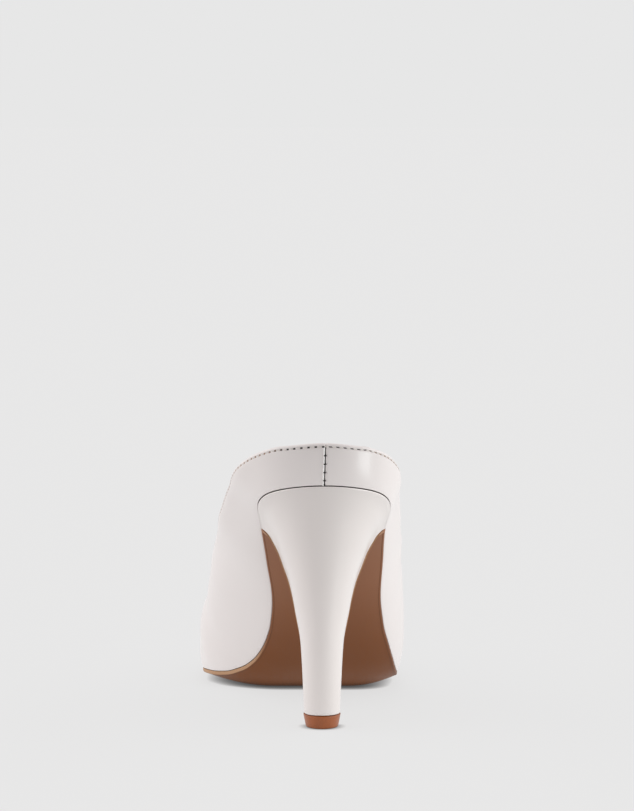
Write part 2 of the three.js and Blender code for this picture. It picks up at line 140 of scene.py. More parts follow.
# size the topline's height is a share of, height over the sole's edge
TOPLINE = (
    (-0.024, "rim_height", 1.00),
    (-0.018, "rim_height", 0.96),
    (-0.004, "rim_height", 0.90),
    (0.018, "rim_height", 0.87),
    (0.045, "rim_height", 0.84),
    (0.075, "rim_height", 0.81),
    (0.105, "rim_height", 0.80),
    (0.145, "rim_height", 0.84),
    (0.180, "rim_height", 0.95),
    (0.228, "instep_height", 0.282),
    (0.285, "instep_height", 0.360),
    (0.351, "instep_height", 0.450),
    (0.395, "instep_height", 0.512),
    (0.425, "instep_height", 0.600),
    (0.450, "instep_height", 0.750),
    (0.474, "instep_height", 0.970),
    (0.491, "instep_height", 1.200),
    (0.518, "instep_height", 1.700),
)

# thickness of the outsole
OUTSOLE = (
    (0.17, 0.62),
    (0.33, 0.66),
    (0.50, 0.86),
    (0.62, 1.00),
    (0.74, 1.00),
    (1.00, 0.85),
)

# Heel rings from the tip, at 0, to the seat, at 1: spread, back edge, front edge
HEEL = (
    (0.00, 0.000, 0.00, 0.00),
    (0.18, 0.033, 0.10, 0.08),
    (0.35, 0.076, 0.21, 0.17),
    (0.52, 0.200, 0.33, 0.28),
    (0.61, 0.270, 0.41, 0.35),
    (0.70, 0.360, 0.52, 0.43),
    (0.79, 0.490, 0.64, 0.52),
    (0.87, 0.615, 0.76, 0.63),
    (0.92, 0.725, 0.85, 0.73),
    (0.96, 0.825, 0.93, 0.84),
    (1.00, 1.000, 1.00, 1.00),
)


# Sizes and colours


def length(name, millimetres, description):
    return bpy.props.FloatProperty(
        name=name, description=description, default=millimetres * MM, min=0.0,
        subtype="DISTANCE", unit="LENGTH", precision=5,
    )


def share(name, value, description):
    return bpy.props.FloatProperty(name=name, description=description, default=value, subtype="FACTOR")


def linear(level):
    """Linear value of a display level from 0 to 255."""
    level = level / 255
    return level / 12.92 if level <= 0.04045 else ((level + 0.055) / 1.055) ** 2.4


def colour(name, display, description):
    return bpy.props.FloatVectorProperty(
        name=name, description=description, default=[linear(level) for level in display],
        size=3, min=0.0, max=1.0, subtype="COLOR",
    )


class LastSizes(bpy.types.PropertyGroup):
    """Sizes of the last and of the pieces built on it."""

    plan_length: length("Length in plan", 228, "From the back of the seat to the toe, seen from above")
    heel_height: length("Heel height", 95.2, "Seat's edge over the floor, at the back")
    toe_spring: length("Toe spring", 8, "Toe's rise over the tread")
    ball_width: length("Ball width", 80.3, "Width of the sole at the ball")
    waist_width: length("Waist width", 43.9, "Width of the sole at the waist")
    seat_width: length("Seat width", 50.8, "Width of the heel seat")
    forefoot_swing: length("Forefoot swing", 9.8, "How far the forefoot stands to the inner side")
    seat_offset: length("Seat offset", 0.8, "How far the seat stands to the outer side of the tip")
    instep_height: length("Instep height", 64.5, "Height of the closed section at the instep")
    rim_height: length("Rim height", 16, "Height of the rim at the back")
    inner_overhang: length("Inner overhang", 25.2, "How far the upper stands out at the arch")
    outer_overhang: length("Outer overhang", 10.1, "How far the upper stands out at the outer waist")
    back_overhang: length("Back overhang", 7.3, "How far the rim stands out at the back")
    toe_overhang: length("Toe overhang", 3, "How far the toe box stands out over the sole")
    collar_roll: length("Collar roll", 0.7, "How far the collar's sides swell below the edge")
    collar_tuck: length("Collar tuck", 0.5, "How far the collar's edge tucks in at the sides")
    wall: length("Wall", 1.8, "Thickness of the upper with its lining")
    seat_round: length("Seat rounding", 27, "Length over which the seat's back is rounded")
    toe_round: length("Toe rounding", 62, "Length over which the toe is rounded")
    toe_box_round: length("Toe box rounding", 28, "Length over which the toe box comes down")
    gap: length("Gap", 0.3, "Seam between the solid pieces")
    fine_gap: length("Fine gap", 0.1, "Seam that is left between the leathers")
    outsole_thickness: length("Outsole thickness", 2.4, "Thickness of the outsole at the tread")
    outsole_bevel: length("Outsole bevel", 0.6, "How far the sole's edge slopes in")
    tread_crown: length("Tread crown", 3.7, "How far the sole's edges curl up")
    insole_thickness: length("Insole thickness", 2.4, "Thickness of the insole with its sock")
    insole_toe_room: length("Insole toe room", 2, "Extra clearance of the insole at the toe")
    breast_station: length("Breast", 40, "From the back of the seat to the heel's breast")
    flap_thickness: length("Flap thickness", 1, "Thickness of the sole's turned-down flap")
    flap_reveal: length("Flap reveal", 0.5, "How far the flap stands out beside the heel")
    tip_station: length("Tip station", 24, "From the back of the seat to the middle of the tip")
    tip_width: length("Tip width", 13, "Width of the heel at its tip")
    tip_depth: length("Tip depth", 13, "Depth of the heel at its tip")
    tip_height: length("Tip height", 5, "Height of the top piece")
    tip_taper: length("Tip taper", 0.5, "How far the top piece slopes in")
    tip_edge_round: length("Tip edge rounding", 0.9, "Rounding of the top piece's foot")
    crown_flat: share("Crown flat", 0.45, "Share of the half width that is flat")
    edge_thinning: share("Edge thinning", 0.4, "Share of the outsole's thickness that is lost at its edge")
    toe_turn: share("Toe turn", 0.35, "How sharply the columns turn at the toe")


class SewingSizes(bpy.types.PropertyGroup):
    """Sizes of the seams and stitches."""

    stitch_pitch: length("Stitch pitch", 2.8, "From one stitch to the next along the topline")
    stitch_length: length("Stitch length", 1.9, "Thread that shows between two needle holes")
    stitch_drop: length("Stitch drop", 0.9, "Stitch line below the topline")
    thread: length("Thread", 0.42, "Thickness of the thread")
    groove: length("Groove", 0.2, "How deep the stitches press into the leather")
    leather: length("Leather", 1.1, "Thickness of the leather alone")
    seam_pitch: length("Seam pitch", 3.4, "From one cross stitch to the next down the back seam")
    seam_stitch: length("Seam stitch", 1.3, "Width of a cross stitch")
    seam_depth: length("Seam depth", 0.6, "Depth of the back seam")
    seam_lean: length("Seam lean", 0.5, "How far the back seam leans to the outer side")
    seam_lip: length("Seam lip", 0.3, "Height of the lip along the back seam's inner side")
    hole_start: length("First hole", 0.4, "From the middle of the back to the first needle hole")
    heel_round: length("Heel edge", 0.55, "Rounding of the heel cover's top edge")


class MuleColours(bpy.types.PropertyGroup):
    """Colours of the finishes."""

    upper: colour("Upper", (240, 233, 231), "Smooth off-white leather")
    heel: colour("Heel", (234, 227, 224), "Leather of the heel cover")
    lining: colour("Lining", (214, 200, 186), "Lining leather")
    sock: colour("Sock", (219, 207, 194), "Sock leather")
    board: colour("Insole board", (96, 78, 70), "Under side of the insole, in the seams")
    thread: colour("Thread", (240, 234, 229), "Topline thread")
    hole: colour("Needle holes", (26, 17, 15), "Shade inside needle holes and the back seam")
    # Painted shade in the needle holes towards the sides, which is paler and tan
    side_hole_shade: colour("Side holes", (168, 138, 118), "Needle holes at the sides, where lining shows through")
    sole: colour("Sole", (117, 63, 14), "Under side of the outsole at the tread")
    # Painted sheen: the outsole's under side is painted towards this paler colour up the shank
    sole_shank_sheen: colour("Shank", (160, 111, 83), "Under side of the outsole beside the heel")
    sole_edge: colour("Sole edge", (186, 146, 112), "Edges of the outsole and its flap")
    tip: colour("Tip", (156, 85, 42), "Hard top piece under the heel")
    floor: colour("Floor", (231, 231, 231), "Studio floor and backdrop")


# Curves and the last


def step_at(distances, wanted):
    """Which step between rising distances holds the wanted one, and how far along that step it is."""
    i = 0
    while i < len(distances) - 2 and distances[i + 1] < wanted:
        i += 1
    return i, (wanted - distances[i]) / (distances[i + 1] - distances[i])


def run_lengths(spots):
    """Distance of each point from the first, walked from point to point."""
    lengths = [0.0]
    for before, after in zip(spots, spots[1:]):
        lengths.append(lengths[-1] + (after - before).length)
    return lengths


class Curve:
    """A smooth curve through the rows of a table that never overshoots them."""

    def __init__(self, rows, value_of):
        self.places = [row[0] for row in rows]
        self.values = [value_of(row) for row in rows]
        last = len(rows) - 1
        self.steps = [self.places[i + 1] - self.places[i] for i in range(last)]
        slopes = [(self.values[i + 1] - self.values[i]) / self.steps[i] for i in range(last)]
        self.tangents = [slopes[0]]
        for i in range(1, last):
            before, after = slopes[i - 1], slopes[i]
            if before * after <= 0:
                self.tangents.append(0.0)
                continue
            weight_before = 2 * self.steps[i] + self.steps[i - 1]
            weight_after = self.steps[i] + 2 * self.steps[i - 1]
            total = weight_before + weight_after
            self.tangents.append(total / (weight_before / before + weight_after / after))
        self.tangents.append(slopes[-1])

    def __call__(self, place):
        i, t = step_at(self.places, min(max(place, self.places[0]), self.places[-1]))
        step = self.steps[i]
        u = 1 - t
        ends = self.values[i] * (1 + 2 * t) * u * u + self.values[i + 1] * (1 + 2 * u) * t * t
        return ends + step * t * u * (self.tangents[i] * u - self.tangents[i + 1] * t)


def mix(start, end, part):
    return start + (end - start) * part


def between(ends, value):
    """Place of the value between two ends, 0 at the first and 1 at the second."""
    return (value - ends[0]) / (ends[1] - ends[0])


def limit(value):
    return min(1.0, max(0.0, value))


def ease(value):
    value = limit(value)
    return value * value * (3 - 2 * value)


def round_end(part):
    return math.sqrt(1 - (1 - limit(part)) ** 2)


def hump(distance, width):
    """A soft bump of height 1 that fades out over about twice its width."""
    return math.exp(-((distance / width) ** 2))


def bulge_shape(angle):
    rise, fall = 0.8, 2.0
    peak = math.atan(math.sqrt(rise / fall))
    shape = abs(math.sin(angle)) ** rise * abs(math.cos(angle)) ** fall
    return shape / (math.sin(peak) ** rise * math.cos(peak) ** fall)


class Last:
    """The form that every piece takes its place from. A station is a distance from the seat's back."""

    def __init__(self, sizes):
        self.size = sizes
        self.span = sizes.plan_length
        self.tread = sizes.outsole_thickness + sizes.gap
        self.half = Curve(OUTLINE, lambda row: row[2] * getattr(sizes, row[1]))
        self.swing = Curve(OUTLINE, lambda row: row[3] * sizes.forefoot_swing)
        self.rise = Curve(PROFILE, lambda row: row[1] * (sizes.heel_height - self.tread))
        self.spring = Curve(PROFILE, lambda row: row[2] * sizes.toe_spring)
        self.crown = Curve(PROFILE, lambda row: row[3] * sizes.tread_crown)
        self.height = Curve(SECTIONS, lambda row: row[1] * sizes.instep_height)
        self.overhang = {
            "inner": Curve(SECTIONS, lambda row: row[2] * sizes.inner_overhang),
            "outer": Curve(SECTIONS, lambda row: row[3] * sizes.outer_overhang),
        }
        self.back_out = Curve(SECTIONS, lambda row: row[4] * sizes.back_overhang)
        self.toe_out = Curve(SECTIONS, lambda row: row[5] * sizes.toe_overhang)
        self.topline = Curve(TOPLINE, lambda row: row[2] * getattr(sizes, row[1]))
        self.outsole = Curve(OUTSOLE, lambda row: row[1] * sizes.outsole_thickness)
        self.heel_spread = Curve(HEEL, lambda row: row[1])
        self.heel_back = Curve(HEEL, lambda row: row[2])
        self.heel_front = Curve(HEEL, lambda row: row[3])

    def part(self, station):
        return station / self.span

    def along(self, station):
        return station - self.size.tip_station

    def middle_x(self, station):
        return self.size.seat_offset - self.swing(self.part(station))

    def half_width(self, station):
        seat = round_end(station / self.size.seat_round)
        toe = round_end((self.span - station) / self.size.toe_round)
        return self.half(self.part(station)) * seat * toe

    def bottom(self, station, across):
        """Height of the last's bottom, where across runs from -1 to 1 between its edges."""
        part = self.part(station)
        return self.tread + self.rise(part) + self.spring(part) + self.crown(part) * self.curl(across)

    def curl(self, across):
        """How far the bottom curls up, from 0 over its flat middle to 1 at both edges."""
        flat = self.size.crown_flat
        return limit((abs(across) - flat) / (1 - flat)) ** 2

    def outsole_at(self, station, across):
        """Thickness of the outsole, which thins towards its edges."""
        return self.outsole(self.part(station)) * (1 - self.size.edge_thinning * self.curl(across))

    def edge(self, station):
        return self.bottom(station, 1)

    def section_height(self, station):
        return self.height(self.part(station)) * round_end((self.span - station) / self.size.toe_box_round)

    def edge_normal(self, side, station):
        """Outward direction of the sole's edge, seen from above."""
        reach = min(0.4 * MM, station / 2, (self.span - station) / 2)
        if reach <= 0:
            return Vector((0, -1 if station <= 0 else 1))
        back, front = station - reach, station + reach
        spread = self.half_width(front) - self.half_width(back)
        turn = self.middle_x(front) - self.middle_x(back) + SIDES[side] * spread
        run = Vector((turn, front - back)).normalized()
        return Vector((SIDES[side] * run.y, -SIDES[side] * run.x))

    def edge_point(self, side, station, inset=0.0):
        normal = self.edge_normal(side, station)
        x = self.middle_x(station) + SIDES[side] * self.half_width(station)
        return Vector((x, self.along(station))) - normal * inset

    def upper_point(self, side, foot, climb):
        """A point on the upper, on the column that starts at the station foot on the sole's edge."""
        size = self.size
        reach = size.toe_round
        foot_span = size.toe_turn * math.sqrt(max(0.0, ((self.span - foot) / reach + 1) ** 2 - 1))
        fade = ease(between(COLUMN_FADE, self.part(foot)))
        span = math.sqrt(foot_span**2 + fade * math.sin(climb) ** 2)
        back = reach * (math.sqrt(1 + (span / size.toe_turn) ** 2) - 1)
        station = min(self.span, self.span - back)
        angle = math.atan2(math.sqrt(1 + foot_span**2) * math.sin(climb), foot_span * math.cos(climb))
        across = SIDES[side] * self.half_width(station) * math.cos(angle)
        part = self.part(station)
        out = (self.overhang[side](part) + self.back_out(part)) * bulge_shape(angle)
        turned = 1 - ease(between(BULGE_TURN, part))
        outward = Vector((SIDES[side], 0)).lerp(self.edge_normal(side, station), turned).normalized()
        toe = self.edge_normal(side, foot) * self.toe_out(self.part(foot)) * bulge_shape(climb)
        return Vector((
            self.middle_x(station) + across + outward.x * out + toe.x,
            self.along(station) + outward.y * out + toe.y,
            self.edge(station) + self.section_height(station) * math.sin(angle),
        ))

    def top_climb(self, side, foot):
        """How far up its column the topline is, found by halving."""
        low, high = 0.0, math.pi / 2
        halvings = 34
        for _ in range(halvings):
            middle = (low + high) / 2
            point = self.upper_point(side, foot, middle)
            station = point.y + self.size.tip_station
            if point.z - self.edge(station) > self.topline(self.part(station)):
                high = middle
            else:
                low = middle
        return (low + high) / 2

    def heel_half(self, climb):
        """Half width of the heel at its breast."""
        breast = self.half_width(self.size.breast_station)
        tip = self.size.tip_width / 2
        return mix(tip, breast, self.heel_spread(climb))

    def heel_front_at(self, climb):
        size = self.size
        tip_front = size.tip_station + size.tip_depth / 2 - size.flap_thickness - size.gap
        return mix(tip_front, size.breast_station, self.heel_front(climb))

    def heel_level(self, station, climb):
        base = self.size.tip_height + self.size.gap
        return mix(base, self.edge(station) - self.size.gap, climb)

    def heel_middle(self, station, climb):
        lean = 4
        return mix(0.0, self.middle_x(station), climb**lean)


# Meshes


class Skin:
    """Rings of points joined into one smooth mesh, with named marks on its points."""

    def __init__(self):
        self.points = []
        self.faces = []
        self.finishes = []
        self.marks = {}

    def ring(self, points, **marks):
        """Adds one ring and gives back its point numbers. Each mark is a list, one value a point."""
        start = len(self.points)
        self.points.extend(points)
        for name, values in marks.items():
            self.marks.setdefault(name, []).extend(values)
        return list(range(start, start + len(points)))

    def face(self, corners, finish=0):
        self.faces.append(tuple(corners))
        self.finishes.append(finish)

    def sheath(self, rings, around=False, finish_of=lambda i: 0):
        """Joins each ring to the next one, and the last to the first where they go around."""
        count = len(rings[0])
        for first, second in zip(rings, rings[1:] + rings[:1] if around else rings[1:]):
            for i in range(count):
                j = (i + 1) % count
                self.face((first[i], first[j], second[j], second[i]), finish_of(i))

    def cap(self, ring):
        """Closes a ring with faces between its two mirrored halves."""
        for i in range((len(ring) - 1) // 2):
            j = len(ring) - 1 - i
            self.face(dict.fromkeys((ring[i], ring[i + 1], ring[j - 1], ring[j])))

    def build(self, name, slot, *nodes, finishes, merge=1e-7, crisp=None):
        """Makes the piece, which takes the place of the named solids. Angles over crisp stay sharp."""
        mesh = bpy.data.meshes.new(name)
        mesh.from_pydata([tuple(point) for point in self.points], [], self.faces)
        mesh.polygons.foreach_set("material_index", self.finishes)
        for mark, values in self.marks.items():
            layer = mesh.attributes.new(mark, "FLOAT", "POINT")
            layer.data.foreach_set("value", values)
        for finish in finishes:
            mesh.materials.append(finish)
        work = bmesh.new()
        work.from_mesh(mesh)
        bmesh.ops.remove_doubles(work, verts=work.verts, dist=merge)
        bmesh.ops.dissolve_degenerate(work, dist=merge, edges=work.edges)
        bmesh.ops.recalc_face_normals(work, faces=work.faces)
        work.to_mesh(mesh)
        work.free()
        mesh.shade_smooth()
        if crisp:
            mesh.set_sharp_from_angle(angle=math.radians(crisp))
        piece = bpy.data.objects.new(name, mesh)
        bpy.context.scene.collection.objects.link(piece)
        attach(piece, "root")
        if nodes:
            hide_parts(*nodes)


def capsule(skin, start, end, up, thickness, arch):
    """A short stitch of thread from start to end, arched over the leather and a little flattened."""
    steps, sides, flatness, end_size = 6, 8, 0.8, 0.12
    run = end - start
    across = run.normalized().cross(up).normalized()
    rings = []
    for i in range(steps + 1):
        t = i / steps
        round_off = math.sqrt(max(0.0, 1 - (2 * t - 1) ** 4))
        centre = start + run * t + up * (arch * math.sin(math.pi * t))
        ring = []
        for k in range(sides):
            turn = 2 * math.pi * k / sides
            offset = across * math.cos(turn) + up * math.sin(turn) * flatness
            ring.append(centre + offset * (thickness / 2) * max(end_size, round_off))
        rings.append(skin.ring(ring))
    skin.sheath(rings)
    skin.face(reversed(rings[0]))
    skin.face(rings[-1])


# The upper's columns

# Each side has even columns, and closer ones beside the back seam, at these millimetres from it
EVEN_COLUMNS = 150
SEAM_ROOM = 5.4 * MM
NEAR_SEAM = [0.1 * i for i in range(1, 13)] + [1.4, 1.7, 2.1, 2.6, 3.3, 4.2]

# Shares of the length over which the collar's swell begins and ends, and the depths it reaches to
ROLL_BEGINS, ROLL_ENDS = (0.05, 0.11), (0.38, 0.46)
SWELL_DEPTH, TUCK_DEPTH = 2.4 * MM, 1.2 * MM


def outer_columns(last):
    """Foot stations and sides of the columns, in one closed round from the toe tip over the outer side."""
    half = last.size.seat_width / 2
    samples = 900
    stations = [last.span * (1 + math.cos(math.pi * i / samples)) / 2 for i in range(samples + 1)]
    sides = {}
    for side in SIDES:
        spots = []
        for station in stations:
            x = last.middle_x(station) + SIDES[side] * last.half_width(station)
            spots.append(Vector((x, last.along(station), last.edge(station))))
        lengths = run_lengths(spots)
        even = lengths[-1] - SEAM_ROOM
        picked = []
        for k in range(EVEN_COLUMNS + 1):
            i, part = step_at(lengths, even * k / EVEN_COLUMNS)
            picked.append(mix(stations[i], stations[i + 1], part))
        for offset in reversed(NEAR_SEAM):
            picked.append(last.size.seat_round * (1 - math.sqrt(1 - (offset * MM / half) ** 2)))
        sides[side] = picked
    columns = [("outer", station) for station in sides["outer"]]
    columns.append(("outer", 0.0))
    columns += [("inner", station) for station in reversed(sides["inner"][1:])]
    return columns


class Column:
    """One line of the upper from the sole's edge to the topline, walked by its length from the top."""

    def __init__(self, last, side, foot):
        self.last, self.side, self.foot = last, side, foot
        top = last.top_climb(side, foot)
        steps = 48
        self.climbs = [top * (1 - i / steps) for i in range(steps + 1)]
        self.lengths = run_lengths([last.upper_point(side, foot, climb) for climb in self.climbs])
        self.length = self.lengths[-1]

    def at(self, down):
        """The point at that distance below the topline."""
        i, part = step_at(self.lengths, down)
        climb = mix(self.climbs[i], self.climbs[i + 1], part)
        return self.last.upper_point(self.side, self.foot, climb)

    def roll(self, down):
        """How far the collar's side swells below its edge, which itself tucks in."""
        part = self.last.part(self.foot)
        share_here = ease(between(ROLL_BEGINS, part)) * (1 - ease(between(ROLL_ENDS, part)))
        swell = self.last.size.collar_roll * (down / SWELL_DEPTH) * math.exp(1 - down / SWELL_DEPTH)
        tuck = self.last.size.collar_tuck * math.exp(-down / TUCK_DEPTH)
        return share_here * (swell - tuck)


class UpperForm:
    """Points and outward directions over the upper, in rounds of equal distance from the topline."""

    def __init__(self, last, near_top, near_foot, even_rows):
        """The rows near the topline and the foot are given in millimetres from them."""
        self.columns = [Column(last, side, foot) for side, foot in outer_columns(last)]
        tops = [distance * MM for distance in near_top]
        self.downs = []
        for column in self.columns:
            feet = [column.length - distance * MM for distance in near_foot]
            steps = [mix(tops[-1], feet[0], i / even_rows) for i in range(1, even_rows)]
            self.downs.append(tops + steps + feet)
        self.rows = len(self.downs[0])
        self.spots = [[column.at(down) for down in downs] for column, downs in zip(self.columns, self.downs)]
        self.count = len(self.columns)
        self._face_out()
        for i, column in enumerate(self.columns):
            for j, down in enumerate(self.downs[i]):
                self.spots[i][j] += self.normals[i][j] * column.roll(down)
        self._face_out()
        rim = [column.at(0.0) for column in self.columns]
        rounds = run_lengths(rim + rim[:1])
        middle = [column.foot for column in self.columns].index(0.0)
        self.rounds = [distance - rounds[middle] for distance in rounds]

    def _face_out(self):
        self.normals = [[self._normal(i, j) for j in range(self.rows)] for i in range(self.count)]

    def _normal(self, i, j):
        along = self.spots[(i + 1) % self.count][j] - self.spots[i - 1][j]
        down = self.spots[i][min(self.rows - 1, j + 1)] - self.spots[i][max(0, j - 1)]
        return along.cross(down).normalized()

    def inward(self, i, j, depth):
        """A point at that depth under the surface. The wall's foot stays level, to close the seam."""
        normal = self.normals[i][j]
        if j == self.rows - 1:
            normal = Vector((normal.x, normal.y, 0)).normalized()
        return self.spots[i][j] - normal * depth

    def up_at(self, i, j):
        up = self.spots[i][max(0, j - 1)] - self.spots[i][min(self.rows - 1, j + 1)]
        return up.normalized()


def seam_x(last, sewing, z):
    """Where the back seam runs: it leans from the seat up to the topline."""
    rise = (z - last.edge(0.0)) / last.size.rim_height
    return last.size.seat_offset + sewing.seam_lean * (limit(rise) + 0.1)


# Shader maths


class Socket:
    """An output of a node. Sums and products of sockets add Math nodes."""

    def __init__(self, finish, output):
        self.finish = finish
        self.output = output

    def maths(self, operation, *values):
        return self.finish.node("ShaderNodeMath", {"operation": operation}, dict(enumerate(values)))

    def __add__(self, other):
        return self.maths("ADD", self, other)

    def __sub__(self, other):
        return self.maths("SUBTRACT", self, other)

    def __rsub__(self, other):
        return self.maths("SUBTRACT", other, self)

    def __mul__(self, other):
        return self.maths("MULTIPLY", self, other)

    def __abs__(self):
        return self.maths("ABSOLUTE", self)

    __radd__ = __add__
    __rmul__ = __mul__

    def larger(self, other):
        return self.maths("MAXIMUM", self, other)

    def fold(self, period):
        """Distance to the nearest multiple of the period."""
        return self.maths("PINGPONG", self, period / 2)

    def step(self, start, end):
        """Runs softly from 0 at start to 1 at end."""
        settings = {"interpolation_type": "SMOOTHSTEP"}
        values = {"Value": self, "From Min": start, "From Max": end}
        if start > end:
            values = {"Value": self, "From Min": end, "From Max": start, "To Min": 1.0, "To Max": 0.0}
        return self.finish.node("ShaderNodeMapRange", settings, values)


class Finish:
    """The nodes of a material, or of a world."""

    def __init__(self, name, world=None):
        self.owner = world or bpy.data.materials.new(name)
        self.owner.use_nodes = True
        self.tree = self.owner.node_tree
        self.tree.nodes.clear()
        self.place = self.node("ShaderNodeTexCoord", output="Generated" if world else "Object")

    def node(self, kind, settings=None, values=None, output=0):
        node = self.tree.nodes.new(kind)
        for setting, value in (settings or {}).items():
            setattr(node, setting, value)
        for key, value in (values or {}).items():
            if isinstance(value, Socket):
                self.tree.links.new(value.output, node.inputs[key])
            else:
                node.inputs[key].default_value = value
        return Socket(self, node.outputs[output]) if len(node.outputs) else None

    def part_of(self, vector, axis):
        return self.node("ShaderNodeSeparateXYZ", None, {0: vector}, output=axis)

    def mark(self, name):
        """A value stored on the mesh, in millimetres."""
        return self.node("ShaderNodeAttribute", {"attribute_name": name}, output="Fac")

    def noise(self, scale, detail=2.0, roughness=0.5, stretch=None):
        place = self.place
        if stretch:
            settings = {"operation": "MULTIPLY"}
            place = self.node("ShaderNodeVectorMath", settings, {0: place, 1: stretch})
        values = {"Vector": place, "Scale": scale, "Detail": detail, "Roughness": roughness}
        return self.node("ShaderNodeTexNoise", None, values)

    def blend(self, factor, first, second, how="MIX"):
        settings = {"data_type": "RGBA", "blend_type": how}
        return self.node("ShaderNodeMix", settings, {0: factor, 6: first, 7: second}, output=2)

    def shades(self, factor, colour_value, low, high):
        """Runs from one share of a colour to another."""
        return self.blend(factor, tint(colour_value, low), tint(colour_value, high))

    def bump(self, height, depth, strength=1.0, below=None):
        values = {"Height": height, "Distance": depth, "Strength": strength}
        if below:
            values["Normal"] = below
        return self.node("ShaderNodeBump", None, values)

    def close(self, values):
        shader = self.node("ShaderNodeBsdfPrincipled", None, values)
        self.node("ShaderNodeOutputMaterial", None, {"Surface": shader})
        return self.owner


def tint(colour_value, factor=1.0):
    return (*[min(1.0, channel * factor) for channel in colour_value], 1.0)


# Millimetres between which each mark fades: from nothing at the first to full at the second. The marks paint
# shade into the needle holes and seams, and a highlight onto the seam's lip and the heel's top edge
HOLE_LENGTH, HOLE_HEIGHT = (0.58, 0.38), (0.44, 0.26)
SEAM_WIDTH, SEAM_TOP = (0.25, 0.12), (0.7, 1.3)
LIP_HIGHLIGHT_PLACE, LIP_HIGHLIGHT_WIDTH = 0.5, (0.36, 0.18)
TAN_HOLES = (14.0, 26.0)
HEEL_SEAM_SHADE, HEEL_EDGE_HIGHLIGHT = (0.62, 0.42), (1.2, 0.85)


def topline_marks(finish, sewing):
    """Where painted shade darkens the needle holes and the back seam, where a painted highlight lightens the
    lip, and where the holes' painted shade turns tan.
    """
    along = finish.mark("topline_along")
    down = finish.mark("topline_down")
    off = finish.mark("seam_off")
    outer = off.step(0.0, 2.0)
    to_hole = (along - sewing.hole_start / MM).fold(sewing.stitch_pitch / MM) - outer * 0.3
    off_line = abs(down - sewing.stitch_drop / MM) + outer * 0.1
    hole = to_hole.step(*HOLE_LENGTH) * off_line.step(*HOLE_HEIGHT) * finish.mark("stitched")
    hole = hole * (1.0 - outer * 0.1)
    # Painted shade in the back seam, and a painted highlight on its lip, both fading in below the topline
    below = down.step(*SEAM_TOP)
    seam = abs(off).step(*SEAM_WIDTH) * below
    lip = abs(off + LIP_HIGHLIGHT_PLACE).step(*LIP_HIGHLIGHT_WIDTH) * below
    return hole.larger(seam), lip, abs(along).step(*TAN_HOLES)


def heel_marks(finish, sewing):
    """Painted shade in the seam over the heel cover's top edge, and a painted highlight on the rounded edge
    below it.
    """
    from_top = finish.mark("from_top")
    return from_top.step(*HEEL_SEAM_SHADE), from_top.step(*HEEL_EDGE_HIGHLIGHT), 0.0


def smooth_leather(name, colour_value, colours, sewing, marks_of):
    """Close-grained leather with a soft gloss, with painted shade in its seams and needle holes and a painted
    highlight on their lips.
    """
    finish = Finish(name)
    clouds = finish.noise(22, 2.0, 0.5)
    grain = finish.noise(1900, 3.0, 0.6)
    dark, pale, tan = marks_of(finish, sewing)
    paint = finish.shades(clouds, colour_value, 0.97, 1.02)
    # Painted highlight: the marked lips and edges are painted paler
    paint = finish.blend(pale, paint, tint(colour_value, 1.2))
    # Painted shade: needle holes and seams are painted dark, tan where the marks say so
    shade = finish.blend(tan, tint(colours.hole), tint(colours.side_hole_shade))
    paint = finish.blend(dark, paint, shade)
    gloss = 0.3 + (clouds - 0.5) * 0.06 + (grain - 0.5) * 0.03 + dark * 0.4
    waves = finish.bump(finish.noise(40, 1.0), 0.06 * MM)
    fine = finish.bump(grain, 0.004 * MM, 0.4, waves)
    return finish.close({
        "Base Color": paint, "Roughness": gloss, "Normal": fine,
        "Coat Weight": 0.3, "Coat Roughness": 0.15, "Specular IOR Level": 0.5,
    })


def lining_leather(name, colour_value):
    """Matt unfinished-looking lining leather with a velvety grain."""
    finish = Finish(name)
    clouds = finish.noise(60, 4.0, 0.6)
    grain = finish.noise(1800, 4.0, 0.7)
    pores = finish.node("ShaderNodeTexVoronoi", None, {"Vector": finish.place, "Scale": 1100.0})
    paint = finish.shades(clouds * 0.7 + grain * 0.3, colour_value, 0.9, 1.06)
    bump = finish.bump(grain * 0.5 + pores * 0.5, 0.05 * MM, 0.6)
    return finish.close({"Base Color": paint, "Roughness": 0.5 + grain * 0.2, "Normal": bump})


def sole_leather(name, colours, cut_edge=False):
    """Tan sole leather with a satin polish and fine fibres along the shoe, painted paler up the shank as a
    sheen.
    """
    finish = Finish(name)
    fibres = finish.noise(900, 4.0, 0.6, stretch=(1.0, 0.12, 0.12))
    clouds = finish.noise(30, 3.0, 0.55)
    specks = finish.noise(1600, 2.0, 0.7)
    tone = (clouds - 0.5) * 0.6 + (fibres - 0.5) * 0.35 + (specks - 0.5) * 0.15 + 0.5
    height = finish.part_of(finish.place, "Z")
    # Painted sheen: the under side turns to the paler shank colour with height
    sheen_up_shank = height.step(12 * MM, 80 * MM)
    low = finish.shades(tone, colours.sole, 0.88, 1.1)
    high = finish.shades(tone, colours.sole_shank_sheen, 0.92, 1.07)
    paint = finish.blend(sheen_up_shank, low, high)
    gloss = 0.42 + (fibres - 0.5) * 0.14 + (clouds - 0.5) * 0.1
    if cut_edge:
        pale = finish.shades(tone, colours.sole_edge, 0.92, 1.06)
        paint = finish.blend(finish.mark("pale_edge"), paint, pale)
    else:
        rim = finish.mark("from_edge").step(0.0, 0.45)
        paint = finish.blend(rim, tint(colours.sole, 0.7), paint)
    bump = finish.bump(fibres * 0.7 + specks * 0.3, 0.015 * MM, 0.5)
    return finish.close({"Base Color": paint, "Roughness": gloss, "Normal": bump, "Specular IOR Level": 0.22})


